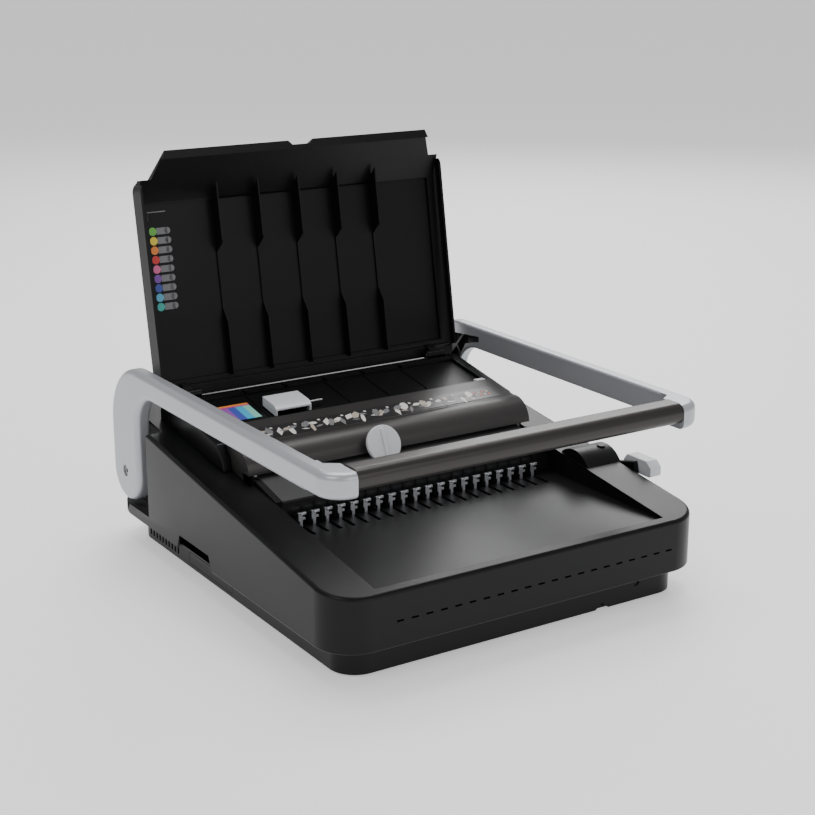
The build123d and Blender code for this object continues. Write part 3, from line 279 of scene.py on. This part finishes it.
def skinMaterial(name, colour, roughness, grain=1800, bump=0.25, metallic=0.0, specular=0.5,
                 drift=0.12, glossDrift=0.08):
    material, tree, shader = newMaterial(name)
    skin = addNode(tree, "ShaderNodeGroup", node_tree=mouldedSkin)
    skin.inputs["Colour"].default_value = (*colour, 1)
    skin.inputs["Drift"].default_value = drift
    skin.inputs["Roughness"].default_value = roughness
    skin.inputs["Gloss Drift"].default_value = glossDrift
    skin.inputs["Grain Size"].default_value = grain
    tree.links.new(skin.outputs["Colour"], shader.inputs["Base Color"])
    tree.links.new(skin.outputs["Roughness"], shader.inputs["Roughness"])
    shader.inputs["Metallic"].default_value = metallic
    shader.inputs["Specular IOR Level"].default_value = specular
    addBump(tree, shader, skin.outputs["Height"], bump)
    return material


def metalMaterial(name, colour, roughness, contrast=0.18, lineScale=900, bump=0.15):
    material, tree, shader = newMaterial(name)
    lines = addNode(tree, "ShaderNodeGroup", node_tree=brushedLines)
    lines.inputs["Colour"].default_value = (*colour, 1)
    lines.inputs["Contrast"].default_value = contrast
    lines.inputs["Roughness"].default_value = roughness
    lines.inputs["Line Scale"].default_value = lineScale
    tree.links.new(lines.outputs["Colour"], shader.inputs["Base Color"])
    tree.links.new(lines.outputs["Roughness"], shader.inputs["Roughness"])
    shader.inputs["Metallic"].default_value = 1.0
    addBump(tree, shader, lines.outputs["Height"], bump)
    return material


def bandMaterial(name, axis, start, step, colours, roughness):
    # printed colours in equal bands along one axis
    material, tree, shader = newMaterial(name)
    coord = addNode(tree, "ShaderNodeTexCoord")
    split = addNode(tree, "ShaderNodeSeparateXYZ")
    tree.links.new(coord.outputs["Object"], split.inputs[0])
    spread = addNode(tree, "ShaderNodeMapRange")
    tree.links.new(split.outputs[axis], spread.inputs["Value"])
    spread.inputs["From Min"].default_value = start
    spread.inputs["From Max"].default_value = start + step * len(colours)
    ramp = addNode(tree, "ShaderNodeValToRGB")
    ramp.color_ramp.interpolation = "CONSTANT"
    tree.links.new(spread.outputs["Result"], ramp.inputs["Fac"])
    stops = ramp.color_ramp.elements
    for index, colour in enumerate(colours):
        stop = stops.new(index / len(colours)) if index else stops[0]
        stop.color = (*colour, 1)
    stops.remove(stops[-1])
    tree.links.new(ramp.outputs["Color"], shader.inputs["Base Color"])
    shader.inputs["Roughness"].default_value = roughness
    return material


look = {
    "caseBlack": skinMaterial("caseBlack", (0.004, 0.004, 0.0045), 0.34, specular=0.20),
    "deckBlack": skinMaterial("deckBlack", (0.004, 0.004, 0.0045), 0.33, specular=0.20),
    "trayBlack": skinMaterial("trayBlack", (0.005, 0.005, 0.0055), 0.38, specular=0.24),
    "lidBlack": skinMaterial("lidBlack", (0.003, 0.003, 0.0035), 0.38, specular=0.20),
    "armSilver": skinMaterial("armSilver", (0.44, 0.45, 0.48), 0.34, grain=2600, bump=0.12, metallic=0.45,
                              drift=0.05),
    "barBronze": skinMaterial("barBronze", (0.045, 0.041, 0.039), 0.34, grain=2600, bump=0.15, metallic=0.65,
                              drift=0.08),
    "housingGrey": skinMaterial("housingGrey", (0.050, 0.047, 0.046), 0.36, grain=2600, bump=0.12,
                                metallic=0.5),
    "plateGrey": skinMaterial("plateGrey", (0.050, 0.050, 0.051), 0.42, grain=2600, bump=0.06, metallic=0.3),
    "zincPlate": metalMaterial("zincPlate", (0.90, 0.92, 0.96), 0.42, contrast=0.14, lineScale=2500),
    "bareSteel": metalMaterial("bareSteel", (0.42, 0.42, 0.43), 0.34),
    "oilBronze": metalMaterial("oilBronze", (0.45, 0.30, 0.14), 0.40),
    "whitePlastic": skinMaterial("whitePlastic", (0.62, 0.63, 0.66), 0.36, grain=2600, bump=0.08, drift=0.04),
    "ribBlack": skinMaterial("ribBlack", (0.012, 0.012, 0.013), 0.30, bump=0.10),
    "footRubber": skinMaterial("footRubber", (0.014, 0.014, 0.014), 0.75, grain=1200, bump=0.5),
    "labelDark": skinMaterial("labelDark", (0.020, 0.019, 0.020), 0.30, bump=0.02),
    "printWhite": skinMaterial("printWhite", (0.66, 0.64, 0.60), 0.45, bump=0.02),
    "printWarm": skinMaterial("printWarm", (0.42, 0.36, 0.30), 0.45, bump=0.02),
    "printGrey": skinMaterial("printGrey", (0.16, 0.16, 0.17), 0.45, bump=0.02),
    "printRed": skinMaterial("printRed", (0.50, 0.05, 0.03), 0.45, bump=0.02),
    "stripes": bandMaterial("stripes", "X", -0.152, 0.0084, [
        (0.80, 0.22, 0.06), (0.70, 0.10, 0.22), (0.32, 0.09, 0.42), (0.06, 0.09, 0.45),
        (0.05, 0.45, 0.72), (0.25, 0.62, 0.50)], 0.4),
    "sizeDots": bandMaterial("sizeDots", "Z", 0.2422, 0.009468, [
        (0.03, 0.42, 0.36), (0.08, 0.42, 0.62), (0.03, 0.06, 0.35), (0.18, 0.05, 0.35), (0.70, 0.12, 0.30),
        (0.62, 0.02, 0.02), (0.80, 0.22, 0.02), (0.80, 0.62, 0.03), (0.12, 0.45, 0.05)], 0.4),
    "stripeOrange": skinMaterial("stripeOrange", (0.85, 0.28, 0.04), 0.40, bump=0.02),
    "stripePink": skinMaterial("stripePink", (0.70, 0.07, 0.22), 0.40, bump=0.02),
}
print("materials made")


# every node of the frame gets its finish

finishOfSlot = {
    "case_black": "caseBlack", "arm_silver": "armSilver", "bar_metal": "barBronze",
    "housing_grey": "housingGrey", "plate_grey": "plateGrey", "zinc": "zincPlate", "steel": "bareSteel",
    "white_plastic": "whitePlastic",
    "black_insert": "ribBlack", "rubber": "footRubber", "label_dark": "labelDark", "label_colour": "stripes",
    "label_dots": "sizeDots", "bronze": "oilBronze",
}
finishOfNode = {"top_casing": "deckBlack", "paper_tray": "trayBlack", "lid_shell": "lidBlack"}


def finishFor(node):
    return look[finishOfNode.get(node, finishOfSlot[slotOf[node]])]


for name, obj in nodes.items():
    setMaterial(obj, finishFor(name))

easedEdges = {      # node: (edge width, segments); 0 keeps the shape and only smooths it
    "top_casing": (0.0, 1), "base_tub": (0.0, 1), "paper_tray": (0.0, 1), "comb_wall": (0.0, 1),
    "left_arm": (0.0, 1), "right_arm": (0.0, 1), "grip_bar": (0.0006, 2), "punch_housing": (0.0, 1),
    "storage_tray": (0.0003, 2), "left_cheek": (0.0015, 3), "right_cheek": (0.0015, 3),
    "rear_cover": (0.0006, 2), "lid_shell": (0.0, 1), "comb_tines": (0.00025, 2), "comb_hooks": (0.00025, 2),
    "lever_hump": (0.0006, 2), "hump_plug": (0.0003, 2), "comb_lever": (0.0006, 2), "lever_grip": (0.0006, 2),
    "size_gauge": (0.0005, 2), "edge_guide": (0.0006, 2), "plate_margins": (0.0, 1),
    "bridge_plate": (0.0003, 2), "guide_channel": (0.0, 1), "left_arm_insert": (0.0, 1),
    "right_arm_insert": (0.0, 1), "waste_drawer": (0.0004, 2), "arm_screws": (0.0002, 2),
    "margin_knob": (0.0008, 3),
}
for node, (width, segments) in easedEdges.items():
    softened(node, finishFor(node), width, segments)
print("edges eased on", len(easedEdges), "nodes")


# printed marks

def tilted(obj, angle, centre):
    # turned about a cross line, front edge down for a positive angle
    pick(obj)
    turn = Matrix.Translation(centre) @ Matrix.Rotation(angle, 4, "X") @ Matrix.Translation(-Vector(centre))
    obj.matrix_world = turn @ obj.matrix_world
    return applyPlace(obj)


def flatMark(name, x, y, width, depth, sides, turn, z):
    # a thin printed shape: a disc with a few sides, stretched and turned
    deselect()
    thick = strip["thick"]
    bpy.ops.mesh.primitive_cylinder_add(vertices=sides, radius=0.5, depth=1, location=(x, y, z + thick / 2),
                                        rotation=(0, 0, radians(turn)))
    obj = bpy.context.object
    obj.name = name
    obj.scale = (width, depth, thick)
    return applyPlace(obj)


strip = {
    "lift": 0.00019, "thick": 0.00012, "slope": atan(0.18), "panels": 10, "ends": 0.03, "start": 0.006,
    "tag": (0.0034, 0.0040), "tagPlace": (0.002, 0.0070), "sizes": (0.009, 0.019), "middle": -0.0015,
    "swing": 0.0045, "sides": (4, 6, 5, 7, 4), "across": (0.28, 0.15), "flat": (0.40, 0.15), "turn": (35, 50),
    "finishes": ("printWhite", "printGrey", "printWarm", "printWhite", "printGrey"),
}
cells = {"rows": 2, "columns": 4, "start": 0.024, "pitch": (0.0052, 0.006), "front": 0.003,
         "size": (0.0042, 0.0038)}
stripLow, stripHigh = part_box("instruction_strip")
pitch = (stripHigh[0] - stripLow[0] - strip["ends"]) / strip["panels"]
marks = {"printWhite": [], "printWarm": [], "printGrey": [], "printRed": []}
middleY = (stripLow[1] + stripHigh[1]) / 2
middleZ = (stripLow[2] + stripHigh[2]) / 2 + strip["lift"]


def onStrip(obj):
    return tilted(obj, strip["slope"], (0, middleY, middleZ))


for panel in range(strip["panels"]):
    left = stripLow[0] + strip["start"] + pitch * panel
    tagX, tagY = strip["tagPlace"]
    tag = flatMark("tag", left + tagX, middleY + tagY, *strip["tag"], 4, 45, middleZ)
    marks["printWhite"].append(onStrip(tag))
    for index, finish in enumerate(strip["finishes"]):
        wave = sin(panel * 2.3 + index * 1.9)       # spreads the shapes without a pattern
        swing = cos(panel * 1.7 + index * 2.9)
        small, large = strip["sizes"]
        size = small + (large - small) * (0.5 + 0.5 * wave)
        x = left + pitch * (strip["across"][0] + strip["across"][1] * index)
        y = middleY + strip["middle"] + strip["swing"] * swing
        depth = size * (strip["flat"][0] + strip["flat"][1] * swing)
        turn = strip["turn"][0] + strip["turn"][1] * wave
        shape = flatMark("shape", x, y, size, depth, strip["sides"][index], turn, middleZ)
        marks[finish].append(onStrip(shape))
for row in range(cells["rows"]):
    for column in range(cells["columns"]):
        x = stripHigh[0] - cells["start"] + cells["pitch"][0] * column
        y = middleY - cells["front"] + cells["pitch"][1] * row
        cell = flatMark("cell", x, y, *cells["size"], 4, 45, middleZ)
        marks["printRed" if (row + column) % 2 else "printWarm"].append(onStrip(cell))
for finish, shapes in marks.items():
    finishPiece(joinUp("stripMarks_" + finish, shapes), bodyOf["instruction_strip"],
                look[finish])

colourBand = {"rows": (("stripeOrange", 0.0030), ("stripePink", 0.0022)), "thick": 0.00025, "sunk": 0.0001,
              "slope": atan(0.165)}
labelLow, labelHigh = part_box("comb_colour_label")
rowEnd = labelHigh[1]
for finish, depth in colourBand["rows"]:
    row = block("colourRow_" + finish, (labelLow[0], rowEnd - depth, labelHigh[2] - colourBand["sunk"]),
                (labelHigh[0], rowEnd, labelHigh[2] + colourBand["thick"]))
    row = tilted(row, colourBand["slope"], (0, labelHigh[1], labelHigh[2]))
    finishPiece(row, bodyOf["comb_colour_label"], look[finish])
    rowEnd -= depth

lidMarks = {
    "count": 9, "first": 0.168, "pitch": 0.0096, "dotX": -0.164, "dot": 0.0042, "pill": (-0.1598, -0.1480),
    "pillHalf": 0.0034, "bracket": (-0.1685, -0.1480), "bracketTop": 0.1880, "barWide": 0.0010,
    "legWide": 0.0008, "legEnd": 0.1790,
    "tilt": radians(9.6), "hinge": (0, back(0.373), 0.160), "face": 0.0175, "thick": 0.0003,
}


def onLid(obj):
    # local height up the lid and depth to its back, turned into place
    pick(obj)
    obj.matrix_world = Matrix.Translation(lidMarks["hinge"]) @ Matrix.Rotation(-lidMarks["tilt"], 4, "X") \
        @ obj.matrix_world
    return applyPlace(obj)


dots, pills = [], []
front, face = lidMarks["face"] - lidMarks["thick"], lidMarks["face"]
low, high = lidMarks["pill"]
half = lidMarks["pillHalf"]
for step in range(lidMarks["count"]):
    height = lidMarks["first"] - lidMarks["pitch"] * step
    dotX = lidMarks["dotX"]
    dots.append(onLid(rod("dot", lidMarks["dot"], (dotX, front, height), (dotX, face, height))))
    pills.append(onLid(block("pill", (low, front, height - half), (high, face, height + half))))
    pills.append(onLid(rod("pillEnd", half, (high, front, height), (high, face, height))))
finishPiece(joinUp("lidSizeDots", dots), "lid", look["sizeDots"], ["lid_labels"])
finishPiece(joinUp("lidSizePills", pills), "lid", look["printGrey"])
low, high = lidMarks["bracket"]
corner = lidMarks["bracketTop"] - lidMarks["barWide"]
bracket = [block("barAcross", (low, front, corner), (high, face, lidMarks["bracketTop"])),
           block("barDown", (low, front, lidMarks["legEnd"]), (low + lidMarks["legWide"], face, corner))]
finishPiece(joinUp("lidCornerBracket", [onLid(part) for part in bracket]), "lid",
            look["printGrey"])
print("printed marks made")


# rail on the rear cover that closes the slot under the lid

hingeRail = {"half": 0.172, "from": 0.3790, "to": 0.3855, "low": 0.1512, "high": 0.1534, "edge": 0.0006}
rail = block("hingeRail", (-hingeRail["half"], back(hingeRail["from"]), hingeRail["low"]),
             (hingeRail["half"], back(hingeRail["to"]), hingeRail["high"]))
addModifier(rail, "BEVEL", width=hingeRail["edge"], segments=2)
smooth(rail, easing["sharp"])
finishPiece(rail, bodyOf["rear_cover"], look["caseBlack"])
print("hinge rail made")


# camera, floor and light

camera = {"place": (-0.8405, -1.329, 0.632), "pitch": 16.648, "yaw": 32.677, "lens": 73.0, "sensor": 36,
          "far": 50}
bpy.ops.object.camera_add(location=camera["place"],
                          rotation=(radians(90 - camera["pitch"]), 0, radians(-camera["yaw"])))
cam = bpy.context.object
cam.data.lens = camera["lens"]
cam.data.sensor_width = camera["sensor"]
cam.data.clip_end = camera["far"]
bpy.context.scene.camera = cam

stage = {"floorSize": 24, "floorGlow": 0.45, "skyLight": 0.45}
floorMaterial = skinMaterial("paleFloor", (0.90, 0.90, 0.90), 0.6, grain=400, bump=0.02, drift=0.01)
floorShader = floorMaterial.node_tree.nodes["Principled BSDF"]
floorShader.inputs["Emission Color"].default_value = (1, 1, 1, 1)
floorShader.inputs["Emission Strength"].default_value = stage["floorGlow"]
bpy.ops.mesh.primitive_plane_add(size=stage["floorSize"], location=(0, 0, 0))
floor = bpy.context.object
floor.name = "floor"
setMaterial(floor, floorMaterial)


def softLight(name, place, aim, size, power):
    bpy.ops.object.light_add(type="AREA", location=place)
    lamp = bpy.context.object
    lamp.name = name
    lamp.data.shape = "RECTANGLE"
    lamp.data.size, lamp.data.size_y = size
    lamp.data.energy = power
    lamp.rotation_euler = (Vector(aim) - Vector(place)).to_track_quat("-Z", "Y").to_euler()


lights = {      # name: place, where it points, width and height, watts
    "overhead": ((0.3, 0.5, 2.4), (0, 0, 0.1), (1.8, 1.2), 36),
    "leftBox": ((-2.0, -0.9, 1.9), (0, 0, 0.15), (1.2, 1.2), 13),
    "rearRight": ((1.6, 1.9, 1.5), (0, 0, 0.2), (1.6, 1.2), 30),
    "frontFill": ((0.4, -2.6, 1.2), (0, 0, 0.1), (1.6, 0.8), 12),
}
for name, setting in lights.items():
    softLight(name, *setting)

world = bpy.data.worlds.new("studio")
world.use_nodes = True
world.node_tree.nodes["Background"].inputs["Color"].default_value = (1, 1, 1, 1)
world.node_tree.nodes["Background"].inputs["Strength"].default_value = stage["skyLight"]
bpy.context.scene.world = world
print("stage lit")
